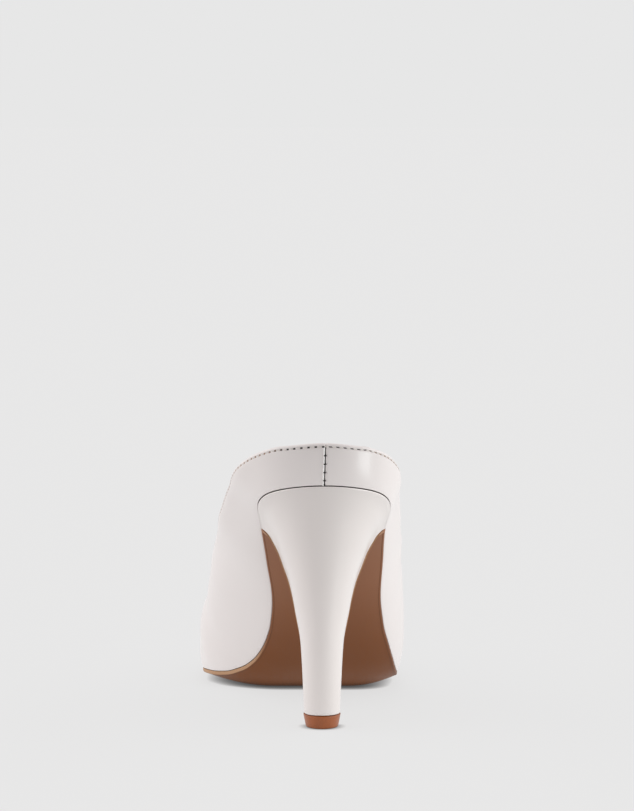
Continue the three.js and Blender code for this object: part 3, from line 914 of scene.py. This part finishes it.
def tip_plastic(name, colour_value):
    """Hard tan plastic of the top piece, moulded with a faint orange peel."""
    finish = Finish(name)
    clouds = finish.noise(300, 3.0, 0.6)
    peel = finish.noise(1200, 2.0)
    paint = finish.shades(clouds, colour_value, 0.86, 1.15)
    bump = finish.bump(peel, 0.04 * MM, 0.5)
    return finish.close({"Base Color": paint, "Roughness": 0.3 + clouds * 0.12, "Normal": bump})


def thread_finish(name, colour_value):
    """Waxed sewing thread with twisted strands."""
    finish = Finish(name)
    strands = finish.noise(5200, 2.0, 0.6, stretch=(1.0, 0.5, 1.0))
    paint = finish.shades(strands, colour_value, 0.8, 1.05)
    bump = finish.bump(strands, 0.05 * MM, 0.7)
    return finish.close({"Base Color": paint, "Roughness": 0.5 + strands * 0.1, "Normal": bump})


def floor_finish(name, colour_value):
    """Plain pale floor that stays even and is shaded only close to what stands on it."""
    finish = Finish(name)
    dust = finish.noise(3.0, 2.0)
    near = finish.node("ShaderNodeAmbientOcclusion", {"samples": 24}, {"Distance": 0.0032}, output="AO")
    shade = 1.0 - (1.0 - near) * 0.9
    pale = finish.shades(dust, colour_value, 0.864, 0.866)
    glow = finish.blend(1.0, pale, shade, "MULTIPLY")
    matt = tint(colour_value, 0.15)
    values = {"Base Color": matt, "Roughness": 1.0, "Specular IOR Level": 0.0}
    return finish.close({**values, "Emission Color": glow, "Emission Strength": 1.0})


# Pieces


class MuleOperator:
    """Shared by the operators that make pieces."""

    bl_options = {"REGISTER", "UNDO"}

    def given(self, context):
        """The last, the sizes of the sewing and the colours."""
        scene = context.scene
        return Last(scene.mule_sizes), scene.mule_sewing, scene.mule_colours


# The leather's form beside its seams: width of the groove under the stitches and of the back
# seam, and rounding of the foot. The seam's lip rises at its inner side, and fades in below the
# topline. At its outer side is a shallow dent.
GROOVE_WIDTH, SEAM_CUT, FOOT_ROUND = 0.32 * MM, 0.15 * MM, 0.25 * MM
LIP_OFF, LIP_SPREAD, LIP_BEGINS = 0.5 * MM, 0.26 * MM, 1.6 * MM
DENT_OFF, DENT_SPREAD, DENT_DEPTH = 0.6 * MM, 0.4 * MM, 0.05 * MM

# The back seam is looked for this far from the back, and is marked as this far away elsewhere
SEAM_REGION, FAR_OFF = 6 * MM, 30 * MM

# The folded edge ends this far below the topline, over this length. Inside, the mark that counts
# down from the topline has a value past every stitch.
HEM_DEPTH, HEM_FADE = 1.2 * MM, 0.5 * MM
INSIDE = 20.0


class MULE_OT_upper(MuleOperator, bpy.types.Operator):
    """Leather shell of the upper with its folded topline and back seam"""

    bl_idname = "mule.upper"
    bl_label = "Upper leather"

    def execute(self, context):
        last, sewing, colours = self.given(context)
        # Rows in millimetres from the topline, close where the stitches' groove runs
        near_top = [0.6]
        while near_top[-1] < 2.6:
            near_top.append(near_top[-1] + 0.17)
        form = UpperForm(last, near_top + [3.0, 3.6], [0.7, 0.45, 0.3, 0.18, 0.08, 0.0], 40)
        skin = Skin()
        skin.sheath([self.section(skin, last, sewing, form, i) for i in range(form.count)], around=True)
        finish = smooth_leather("upper_leather", colours.upper, colours, sewing, topline_marks)
        skin.build("upper_shell", "upper_leather", "upper", finishes=[finish])
        return {"FINISHED"}

    def section(self, skin, last, sewing, form, i):
        """One closed section through the leather, from the foot up, over the fold and down inside."""
        points, downs, offs = [], [], []
        wall = last.size.wall
        column = form.columns[i]
        for j in reversed(range(form.rows)):
            spot, down = form.spots[i][j], form.downs[i][j]
            press = sewing.groove * hump(down - sewing.stitch_drop, GROOVE_WIDTH)
            foot = max(0.0, FOOT_ROUND - (column.length - down))
            press += FOOT_ROUND - math.sqrt(FOOT_ROUND**2 - foot**2)
            off = SIDES[column.side] * FAR_OFF
            if spot.y < last.along(SEAM_REGION):
                off = spot.x - seam_x(last, sewing, spot.z)
                press += sewing.seam_depth * hump(off, SEAM_CUT)
                press -= sewing.seam_lip * hump(off + LIP_OFF, LIP_SPREAD) * ease(down / LIP_BEGINS)
                press += DENT_DEPTH * hump(off - DENT_OFF, DENT_SPREAD)
            points.append(spot - form.normals[i][j] * press)
            downs.append(down / MM)
            offs.append(off / MM)
        spot, normal, up = form.spots[i][0], form.normals[i][0], form.up_at(i, 0)
        centre = spot - normal * (wall / 2)
        turns, notch_share = 9, 0.7
        for k in range(1, turns + 1):
            turn = math.pi * k / turns
            notch = sewing.seam_depth * notch_share * hump(offs[-1] * MM, SEAM_CUT) if k < turns else 0.0
            radius = wall / 2 - notch
            points.append(centre + normal * (math.cos(turn) * radius) + up * (math.sin(turn) * radius))
            downs.append(0.0)
            offs.append(offs[-1])
        for j in sorted({2, 4, 7, *range(10, form.rows, 4), form.rows - 1}):
            hem = ease((form.downs[i][j] - HEM_DEPTH) / HEM_FADE)
            points.append(form.inward(i, j, mix(wall, sewing.leather, hem)))
            downs.append(INSIDE)
            offs.append(offs[0])
        along = [form.rounds[i] / MM] * len(points)
        at_throat = i in (0, 1, form.count - 1)
        stitched = [0.0 if at_throat else 1.0] * len(points)
        return skin.ring(points, topline_along=along, topline_down=downs, seam_off=offs, stitched=stitched)


class MULE_OT_lining(MuleOperator, bpy.types.Operator):
    """Lining inside the upper, trimmed just below the folded topline"""

    bl_idname = "mule.lining"
    bl_label = "Lining"

    def execute(self, context):
        last, sewing, colours = self.given(context)
        form = UpperForm(last, [1.4, 1.7, 2.2], [0.5, 0.0], 18)
        wall = last.size.wall
        glue = 0.06 * MM
        outer_face = sewing.leather + glue
        skin = Skin()
        rings = []
        for i in range(form.count):
            points = [form.inward(i, j, outer_face) for j in reversed(range(1, form.rows))]
            points += [form.inward(i, 0, mix(outer_face, wall, depth)) for depth in (0.25, 0.75)]
            points += [form.inward(i, j, wall) for j in range(1, form.rows)]
            rings.append(skin.ring(points))
        skin.sheath(rings, around=True)
        finish = lining_leather("lining_leather", colours.lining)
        skin.build("upper_lining", "lining_leather", finishes=[finish])
        return {"FINISHED"}


# Topline stitches: share of the thread that stands out, slant, its unevenness and the arch
THREAD_OUT, SLANT, UNEVEN, STITCH_ARCH = 0.25, 0.13 * MM, 0.05, 0.06 * MM

# Cross stitches on the back seam, which end above its foot, and the knot there
CROSS_THREAD, CROSS_LIFT, CROSS_END = 0.52 * MM, 0.28 * MM, 2 * MM
KNOT, KNOT_RISE = 0.65 * MM, 0.45 * MM


class MULE_OT_stitches(MuleOperator, bpy.types.Operator):
    """Stitches round the topline and across the back seam"""

    bl_idname = "mule.stitches"
    bl_label = "Stitches"

    def execute(self, context):
        last, sewing, colours = self.given(context)
        chance = random.Random(7)
        drop = sewing.stitch_drop / MM
        form = UpperForm(last, [drop - 0.4, drop, drop + 0.4], [1.0, 0.0], 2)
        skin = Skin()
        pitch = sewing.stitch_pitch
        first = math.ceil((form.rounds[0] - sewing.hole_start) / pitch)
        final = math.floor((form.rounds[-1] - sewing.hole_start) / pitch)
        half = sewing.stitch_length / 2
        lift = sewing.thread * THREAD_OUT - sewing.groove
        for k in range(first, final):
            middle = sewing.hole_start + (k + 0.5) * pitch
            slant = SLANT + chance.uniform(-UNEVEN, UNEVEN) * MM
            ends = []
            for reach, rise in ((-half, -slant), (half, slant)):
                spot, normal, up = self.on_topline(form, middle + reach)
                ends.append(spot + normal * lift + up * rise)
            normal = self.on_topline(form, middle)[1]
            capsule(skin, *ends, normal, sewing.thread, STITCH_ARCH)
        finish = thread_finish("topline_thread", colours.thread)
        skin.build("topline_stitches", "upper_leather", finishes=[finish])
        self.back_seam(last, sewing, colours)
        return {"FINISHED"}

    def on_topline(self, form, distance):
        """Point, outward direction and upward direction on the stitch line."""
        i, part = step_at(form.rounds, distance)
        j = (i + 1) % form.count
        spot = form.spots[i][1].lerp(form.spots[j][1], part)
        normal = form.normals[i][1].lerp(form.normals[j][1], part).normalized()
        up = form.up_at(i, 1).lerp(form.up_at(j, 1), part).normalized()
        return spot, normal, up

    def back_seam(self, last, sewing, colours):
        column = Column(last, "outer", 0.0)
        skin = Skin()
        count = int((column.length - CROSS_END) / sewing.seam_pitch)
        cross = (sewing.seam_stitch, CROSS_THREAD, CROSS_LIFT)
        rows = [(sewing.stitch_drop + k * sewing.seam_pitch, *cross) for k in range(1, count + 1)]
        rows.append((column.length - KNOT_RISE, KNOT, KNOT, 0.0))
        for down, wide, thick, lift in rows:
            spot = column.at(down)
            next_spot = column.at(down + 0.2 * MM)
            normal = Vector((1, 0, 0)).cross(next_spot - spot).normalized()
            if normal.y > 0:
                normal = -normal
            middle = Vector((seam_x(last, sewing, spot.z), spot.y, spot.z)) + normal * lift
            reach = Vector((wide / 2, 0, 0))
            capsule(skin, middle - reach, middle + reach, normal, thick, 0.0)
        # The cross stitches take the needle holes' painted shade, a little lighter: their dark stands in for
        # the thread together with the shade of the holes beside it
        finish = thread_finish("seam_thread_shade", tint(colours.hole, 1.1)[:3])
        skin.build("back_seam_stitches", "upper_leather", finishes=[finish])


def across_points(last, station, inset, level_of, count):
    """Points across the shoe between its two edges at a station, drawn in by the inset."""
    left = last.edge_point("inner", station, inset)
    right = last.edge_point("outer", station, inset)
    points = []
    for j in range(count + 1):
        spot = left.lerp(right, j / count)
        points.append(Vector((spot.x, spot.y, level_of(spot.y + last.size.tip_station, 2 * j / count - 1))))
    return points


def even_stations(start, end, count):
    return [mix(start, end, (1 - math.cos(math.pi * i / count)) / 2) for i in range(count + 1)]


class MULE_OT_sock(MuleOperator, bpy.types.Operator):
    """Insole covered with a sock of lining leather, rounded at its edge"""

    bl_idname = "mule.sock"
    bl_label = "Insole and sock"

    def execute(self, context):
        last, _, colours = self.given(context)
        size = last.size
        across, along = 20, 110
        # The rounded edge from below: extra inset and share of the thickness
        edge, top_inset = ((0.0, 0.7), (0.12 * MM, 0.9)), 0.5 * MM
        toe_start = last.span - size.toe_box_round
        skin = Skin()
        rings = []
        for station in even_stations(0.0, last.span, along):
            toe_room = size.insole_toe_room * ease((station - toe_start) / size.toe_box_round)
            inset = size.wall + size.gap + toe_room

            def row(extra, height):
                spots = across_points(last, station, inset + extra, last.bottom, across)
                return [spot + Vector((0, 0, size.insole_thickness * height)) for spot in spots]

            sides = [row(*bend) for bend in edge]
            ring = row(0.0, 0.0) + [side[-1] for side in sides] + row(top_inset, 1.0)[::-1]
            rings.append(skin.ring(ring + [side[0] for side in reversed(sides)]))
        last_face = len(rings[0]) - 1
        skin.sheath(rings, finish_of=lambda i: 1 if i <= across or i == last_face else 0)
        faces = (("sock_leather", colours.sock), ("insole_board", colours.board))
        finishes = [lining_leather(*face) for face in faces]
        skin.build("insole_sock", "lining_leather", "insole", finishes=finishes, merge=2e-6)
        return {"FINISHED"}


def half_ring(last, breast, half, back, front, middle_of, level_of, corner, steps, drop=0.0):
    """A D-shaped ring, from the middle of its front round one corner and the back to the other."""
    fine = 80
    side = []
    for i in range(fine + 1):
        part = 1 - math.cos(math.pi * i / fine / 2)
        seat = breast * part
        wide = half * last.half_width(seat) / last.half_width(breast)
        side.append((wide, mix(back, front, part), seat))
    lengths = [0.0]
    for before, after in zip(side, side[1:]):
        lengths.append(lengths[-1] + math.dist(before[:2], after[:2]))

    def walk(distance):
        i, part = step_at(lengths, distance)
        return tuple(mix(a, b, part) for a, b in zip(side[i], side[i + 1]))

    arc = [walk((lengths[-1] - corner) * i / steps) for i in range(steps + 1)]
    start, tip = arc[-1], side[-1]
    end = (tip[0] - corner, tip[1], tip[2])
    bends = 5
    for k in range(1, bends + 1):
        t = k / bends
        weights = ((1 - t) ** 2, 2 * t * (1 - t), t * t)
        arc.append(tuple(sum(w * v for w, v in zip(weights, values)) for values in zip(start, tip, end)))
    arc.append((end[0] / 2, end[1], tip[2]))

    def half_side(part, side):
        return [Vector((middle_of(s) + side * x, last.along(y), level_of(s) - drop)) for x, y, s in part]

    return half_side(reversed(arc[1:]), -1) + half_side(arc, 1)


class MULE_OT_heel(MuleOperator, bpy.types.Operator):
    """High heel covered in the upper's leather"""

    bl_idname = "mule.heel"
    bl_label = "Covered heel"

    def execute(self, context):
        last, sewing, colours = self.given(context)
        size = last.size
        corner, steps, front_share = 0.7 * MM, 34, 0.3
        skin = Skin()
        rings = []
        for climb, inset, drop, from_top in self.rows(size.gap - size.fine_gap, sewing.heel_round):
            back = mix(size.tip_station - size.tip_depth / 2, 0.0, last.heel_back(climb)) + inset
            ring = half_ring(
                last, size.breast_station, last.heel_half(climb) - inset, back,
                last.heel_front_at(climb) - inset * front_share,
                lambda station: last.heel_middle(station, climb),
                lambda station: last.heel_level(station, climb),
                corner, steps, drop,
            )
            rings.append(skin.ring(ring, from_top=[from_top / MM] * len(ring)))
        skin.sheath(rings)
        skin.cap(rings[0])
        skin.cap(rings[-1])
        finish = smooth_leather("heel_leather", colours.heel, colours, sewing, heel_marks)
        skin.build("heel_cover", "heel_leather", "heel", finishes=[finish])
        return {"FINISHED"}

    def rows(self, raise_top, edge_round):
        """Climb, inset, drop and distance from the top edge of each ring, with its two ends rounded."""
        far, straight, steps, bends = 9 * MM, 0.004, 70, 8
        rows = [(0.0, 0.3 * MM, 0.0, far), (0.0015, 0.1 * MM, 0.0, far)]
        rows += [(mix(straight, 1.0, i / steps), 0.0, 0.0, far) for i in range(steps)]
        for k in range(bends + 1):
            turn = math.pi / 2 * k / bends
            inset = edge_round * (1 - math.cos(turn))
            drop = edge_round * (1 - math.sin(turn)) - raise_top
            rows.append((1.0, inset, drop, edge_round * (math.pi / 2 - turn)))
        return rows


class MULE_OT_top_piece(MuleOperator, bpy.types.Operator):
    """Hard tip under the heel"""

    bl_idname = "mule.top_piece"
    bl_label = "Top piece"

    def execute(self, context):
        last, _, colours = self.given(context)
        size = last.size
        foot = size.tip_edge_round
        corner, round_steps = 0.8 * MM, 24
        skin = Skin()
        rings = []
        rows = []
        steps = 6
        for k in range(steps + 1):
            turn = math.pi / 2 * k / steps
            rows.append((foot * (1 - math.cos(turn)), -size.tip_taper - foot * (1 - math.sin(turn))))
        # The rounded top edge: depth below the top, and spread
        edge = ((0.25 * MM, 0.22 * MM), (0.08 * MM, 0.18 * MM), (0.0, 0.0))
        for k in range(1, steps):
            below, spread = edge[0]
            part = k / steps
            rows.append((mix(foot, size.tip_height - below, part), mix(-size.tip_taper, spread, part)))
        rows += [(size.tip_height - below, spread) for below, spread in edge]
        for level, spread in rows:
            ring = half_ring(
                last, size.breast_station, size.tip_width / 2 + spread,
                size.tip_station - size.tip_depth / 2 - spread,
                size.tip_station + size.tip_depth / 2 + spread,
                lambda station: 0.0, lambda station: level, corner, round_steps,
            )
            rings.append(skin.ring(ring))
        skin.sheath(rings)
        skin.cap(rings[0])
        skin.cap(rings[-1])
        finish = tip_plastic("tip_plastic", colours.tip)
        skin.build("heel_tip", "tip_plastic", "top_piece", finishes=[finish])
        return {"FINISHED"}


class MULE_OT_outsole(MuleOperator, bpy.types.Operator):
    """Outsole with its trimmed edge, turned down over the heel's breast as a flap"""

    bl_idname = "mule.outsole"
    bl_label = "Outsole"
    across = 28
    walls = 10
    plates, flaps, flap_top = 150, 48, 0.975

    # Shares of the way down the wall over which it turns burnished, and of the shoe's length over
    # which its edge turns pale towards the toe, at the inner and the outer side
    burnish = (0.45, 0.75)
    pale_ends = ((0.41, 0.52), (0.56, 0.66))

    def execute(self, context):
        last, _, colours = self.given(context)
        size = last.size
        skin = Skin()
        rings = []
        start = size.breast_station + size.gap
        stations = list(reversed(even_stations(0.0, 1.0, self.plates)))
        for part in stations:
            hidden_at = mix(start, last.span, part)
            shown_at = mix(start + size.flap_thickness, last.span, part)
            rings.append(self.plate_ring(skin, last, hidden_at, shown_at))
        for k in range(1, self.flaps + 1):
            climb = mix(self.flap_top, 0.0, k / self.flaps)
            rings.append(self.flap_ring(skin, last, climb))
        turn = len(stations)
        skin.sheath(rings[:turn], finish_of=lambda i: self.finish_of(i, False))
        skin.sheath(rings[turn - 1:], finish_of=lambda i: self.finish_of(i, True))
        skin.face(rings[-1], 1)
        finishes = [sole_leather("sole_leather", colours), sole_leather("sole_edge", colours, cut_edge=True)]
        skin.build("outsole_leather", "sole_leather", "outsole", finishes=finishes, merge=2e-6, crisp=50)
        return {"FINISHED"}

    def finish_of(self, i, on_flap):
        """Finish of one face of a ring: 0 for the under side, 1 for the edges and the flap's back."""
        hidden, shown = self.across, 2 * self.across + self.walls
        if i < hidden:
            return 1 if on_flap else 0
        return 0 if hidden + self.walls <= i < shown else 1

    def closed_ring(self, skin, hidden, shown, corner_right, corner_left, pale):
        """Hidden face, right wall, shown face and left wall. The walls bend round their lower corner."""

        bend_start = 0.4

        def wall(start, corner, end):
            points = []
            bend = start.lerp(corner, bend_start)
            for k in range(1, self.walls):
                t = (k - 1) / (self.walls - 1)
                points.append(bend.lerp(corner, t).lerp(corner.lerp(end, t), t))
            return points

        right = wall(hidden[-1], corner_right, shown[-1])
        left = wall(hidden[0], corner_left, shown[0])
        points = hidden + right + list(reversed(shown)) + list(reversed(left))
        inner = [0.0] * (len(hidden) + len(right))
        middle = (shown[0] + shown[-1]) / 2
        half = (shown[0] - shown[-1]).length / 2
        depths = [(half - (point - middle).length) / MM for point in reversed(shown)]
        marks = inner + [max(0.0, depth) for depth in depths] + [0.0] * len(left)
        burnished = [ease(between(self.burnish, (k - 1) / (self.walls - 1))) for k in range(1, self.walls)]
        down_wall = [1 - shade for shade in burnished]
        fresh = [1.0] * len(hidden) + down_wall + [0.0] * len(shown) + list(reversed(down_wall))
        tones = [pale[0 if point.x < middle.x else 1] * share for point, share in zip(points, fresh)]
        return skin.ring(points, from_edge=marks, pale_edge=tones)

    def plate_ring(self, skin, last, hidden_at, shown_at):
        size = last.size

        def top(station, place):
            return last.bottom(station, place) - size.fine_gap

        def under(station, place):
            return last.bottom(station, place) - size.gap - last.outsole_at(station, place)

        hidden = across_points(last, hidden_at, 0.0, top, self.across)
        shown = across_points(last, shown_at, size.outsole_bevel, under, self.across)
        corners = across_points(last, shown_at, 0.0, under, self.across)
        part = last.part(shown_at)
        pale = [ease(between(ends, part)) for ends in self.pale_ends]
        return self.closed_ring(skin, hidden, shown, corners[-1], corners[0], pale)

    def flap_ring(self, skin, last, climb):
        size = last.size
        level = last.heel_level(size.breast_station, climb)
        centre = last.heel_middle(size.breast_station, climb)
        half = last.heel_half(climb) + size.flap_reveal * climb
        back = last.along(last.heel_front_at(climb) + size.gap)
        front = back + size.flap_thickness
        bevel = 0.25 * MM

        def row(wide, y):
            return [
                Vector((centre + wide * (2 * j / self.across - 1), y, level)) for j in range(self.across + 1)
            ]

        corners = row(half, front)
        return self.closed_ring(
            skin, row(half, back), row(half - bevel, front), corners[-1], corners[0], (1.0, 1.0)
        )


class MULE_OT_studio(MuleOperator, bpy.types.Operator):
    """Camera, plain pale floor and soft lights"""

    bl_idname = "mule.studio"
    bl_label = "Studio"

    def execute(self, context):
        scene = context.scene
        self.camera(scene)
        self.floor(scene)
        self.sky(scene)
        self.lights(scene)
        scene.view_settings.view_transform = "Standard"
        scene.view_settings.look = "None"
        scene.view_settings.exposure = 0.0
        scene.view_settings.gamma = 1.0
        return {"FINISHED"}

    def camera(self, scene):
        data = bpy.data.cameras.new("photo_camera")
        data.sensor_width = 36.0
        data.lens = 173.12
        data.clip_end = 200.0
        camera = bpy.data.objects.new("photo_camera", data)
        camera.location = Vector((-1.9166, -1481.53, 234.65)) * MM
        camera.rotation_euler = (math.radians(90 - 4.287), 0.0, 0.0)
        scene.collection.objects.link(camera)
        scene.camera = camera

    def floor(self, scene):
        mesh = bpy.data.meshes.new("studio_floor")
        reach, back = 60.0, 0.21
        corners = [(-reach, -back, 0), (reach, -back, 0), (reach, reach, 0), (-reach, reach, 0)]
        mesh.from_pydata(corners, [], [(0, 1, 2, 3)])
        mesh.materials.append(floor_finish("studio_floor", scene.mule_colours.floor))
        floor = bpy.data.objects.new("studio_floor", mesh)
        scene.collection.objects.link(floor)

    def sky(self, scene):
        """An even pale surround for the camera, and a studio that is brighter at the sides for the rest."""
        scene.world = bpy.data.worlds.new("studio")
        finish = Finish("studio", scene.world)
        x, y, z = (finish.part_of(finish.place, axis) for axis in "XYZ")
        left = (x * -1.0).step(0.3, 0.95)
        right = x.step(0.2, 0.95)
        above = z.step(0.1, 1.0)
        below = (z * -1.0).step(0.0, 0.15)
        behind = (y * -1.0).step(0.15, 1.0)
        level = 0.79 + left * 0.86 + right * 0.56 + above * 0.04 - behind * 0.47 - below * 0.5
        warm = (1.0, 0.978, 0.976, 1.0)
        lit = finish.node("ShaderNodeBackground", None, {"Color": warm, "Strength": level})
        ground = {"Color": tint(scene.mule_colours.floor), "Strength": 1.0}
        pale = finish.node("ShaderNodeBackground", None, ground)
        seen = finish.node("ShaderNodeLightPath", output="Is Camera Ray")
        mixed = finish.node("ShaderNodeMixShader", None, {0: seen, 1: lit, 2: pale})
        finish.node("ShaderNodeOutputWorld", None, {"Surface": mixed})

    def lights(self, scene):
        """Soft boxes that light the shoe and leave the floor even."""
        shoe = bpy.data.collections.new("lit_by_soft_boxes")
        for piece in scene.collection.objects:
            if piece.type == "MESH" and not piece.name.startswith("studio"):
                shoe.objects.link(piece)
        boxes = (
            ("right_box", (1.2, -0.05, 0.2), (0.0, 0.0, 0.1), 0.5, 0.5, 1.7),
            ("low_card", (0.148, -0.074, 0.032), (0.0165, -0.023, 0.104), 0.06, 0.05, 0.038),
        )
        for name, spot, aim, wide, high, power in boxes:
            data = bpy.data.lights.new(name, "AREA")
            data.shape = "RECTANGLE"
            data.size = wide
            data.size_y = high
            data.energy = power
            data.color = (0.93, 1.0, 0.99)
            lamp = bpy.data.objects.new(name, data)
            lamp.location = spot
            lamp.rotation_euler = (Vector(aim) - Vector(spot)).to_track_quat("-Z", "Y").to_euler()
            lamp.visible_camera = False
            scene.collection.objects.link(lamp)
            lamp.light_linking.receiver_collection = shoe


class MULE_PT_pieces(bpy.types.Panel):
    """The pieces of the mule"""

    bl_idname = "MULE_PT_pieces"
    bl_label = "High-heeled mule"
    bl_space_type = "VIEW_3D"
    bl_region_type = "UI"
    bl_category = "Mule"

    def draw(self, context):
        for operator in PIECES:
            self.layout.operator(operator.bl_idname)


PIECES = (
    MULE_OT_upper,
    MULE_OT_lining,
    MULE_OT_stitches,
    MULE_OT_sock,
    MULE_OT_heel,
    MULE_OT_top_piece,
    MULE_OT_outsole,
    MULE_OT_studio,
)
GROUPS = (LastSizes, SewingSizes, MuleColours)


def register():
    for item in (*GROUPS, *PIECES, MULE_PT_pieces):
        bpy.utils.register_class(item)
    bpy.types.Scene.mule_sizes = bpy.props.PointerProperty(type=LastSizes)
    bpy.types.Scene.mule_sewing = bpy.props.PointerProperty(type=SewingSizes)
    bpy.types.Scene.mule_colours = bpy.props.PointerProperty(type=MuleColours)


def unregister():
    del bpy.types.Scene.mule_sizes
    del bpy.types.Scene.mule_sewing
    del bpy.types.Scene.mule_colours
    for item in reversed((*GROUPS, *PIECES, MULE_PT_pieces)):
        bpy.utils.unregister_class(item)


def main():
    register()
    for operator in PIECES:
        group, name = operator.bl_idname.split(".")
        getattr(getattr(bpy.ops, group), name)()


if __name__ == "__main__":
    main()
